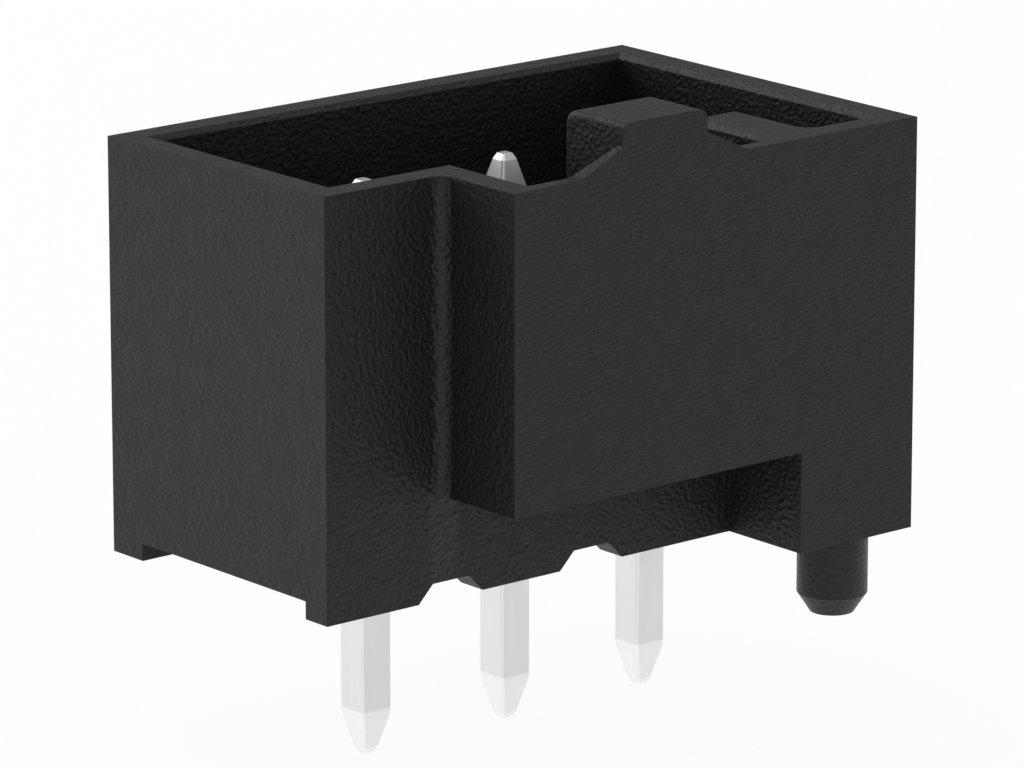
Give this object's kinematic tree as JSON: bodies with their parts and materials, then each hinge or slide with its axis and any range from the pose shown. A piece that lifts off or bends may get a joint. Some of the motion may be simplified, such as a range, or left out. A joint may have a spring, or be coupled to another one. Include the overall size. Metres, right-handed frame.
{
  "type": "circuit board connector",
  "caption": "Upright shrouded pin header for a circuit board: open black housing with a stepped front, raised key, feet and locating peg, and square pins.",
  "frame": {"origin": "on the board's surface, on the axis of the middle terminal pin", "axes": "+X along the pin row towards the locating peg, +Y towards the housing's flat back, +Z away from the board, the way the plug leaves"},
  "size_m": [0.0186, 0.0125, 0.0184],
  "materials": {
    "housing_plastic": "matt black moulded thermoplastic with a fine grain",
    "pin_metal": "bright tin plating on a copper alloy"
  },
  "bodies": {
    "root": {"housing": "housing_plastic", "contact_pin_1": "pin_metal", "contact_pin_2": "pin_metal", "contact_pin_3": "pin_metal"}
  },
  "joints": []
}
